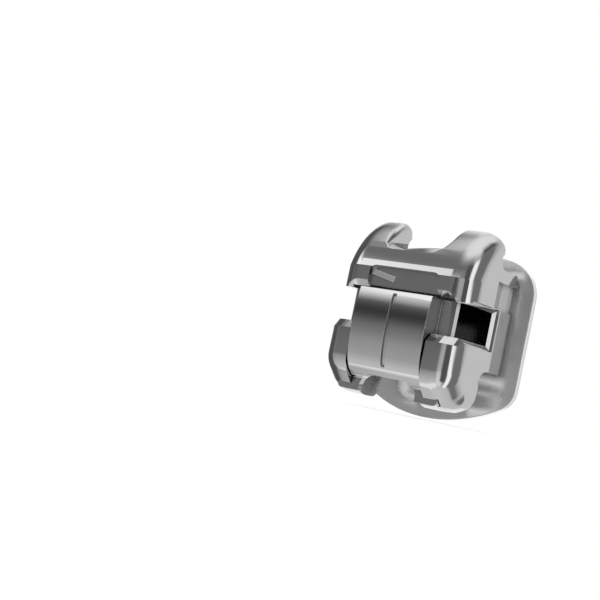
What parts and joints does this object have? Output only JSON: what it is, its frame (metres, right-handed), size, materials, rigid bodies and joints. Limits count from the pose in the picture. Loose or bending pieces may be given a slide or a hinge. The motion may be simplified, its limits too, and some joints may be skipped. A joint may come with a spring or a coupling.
{
  "type": "orthodontic bracket",
  "caption": "Metal orthodontic bracket with tie wings, a closed archwire slot under a sliding door, and a curved bonding pad with a woven mesh.",
  "frame": {"origin": "centre of the bonding surface, on the tooth side of the mesh, level with the middle of the archwire slot", "axes": "+Y towards the tooth, +Z towards the gingival tie wings, +X along the archwire slot"},
  "size_m": [0.003, 0.002, 0.0032],
  "materials": {
    "body_steel": "mirror polished stainless steel",
    "door_steel": "mirror polished stainless steel",
    "spring_steel": "drawn spring steel",
    "pad_steel": "satin polished stainless steel",
    "mesh_steel": "matt sintered wire mesh"
  },
  "bodies": {
    "bracket": {"tie_wing_body": "body_steel", "door_spring": "spring_steel", "bonding_pad": "pad_steel", "bonding_mesh": "mesh_steel"},
    "door": {"sliding_door": "door_steel"}
  },
  "joints": [
    {"name": "door_slide", "type": "slide", "parent": "bracket", "child": "door", "axis": [0, 0, -1], "range_m": [0, 0.0006]}
  ]
}
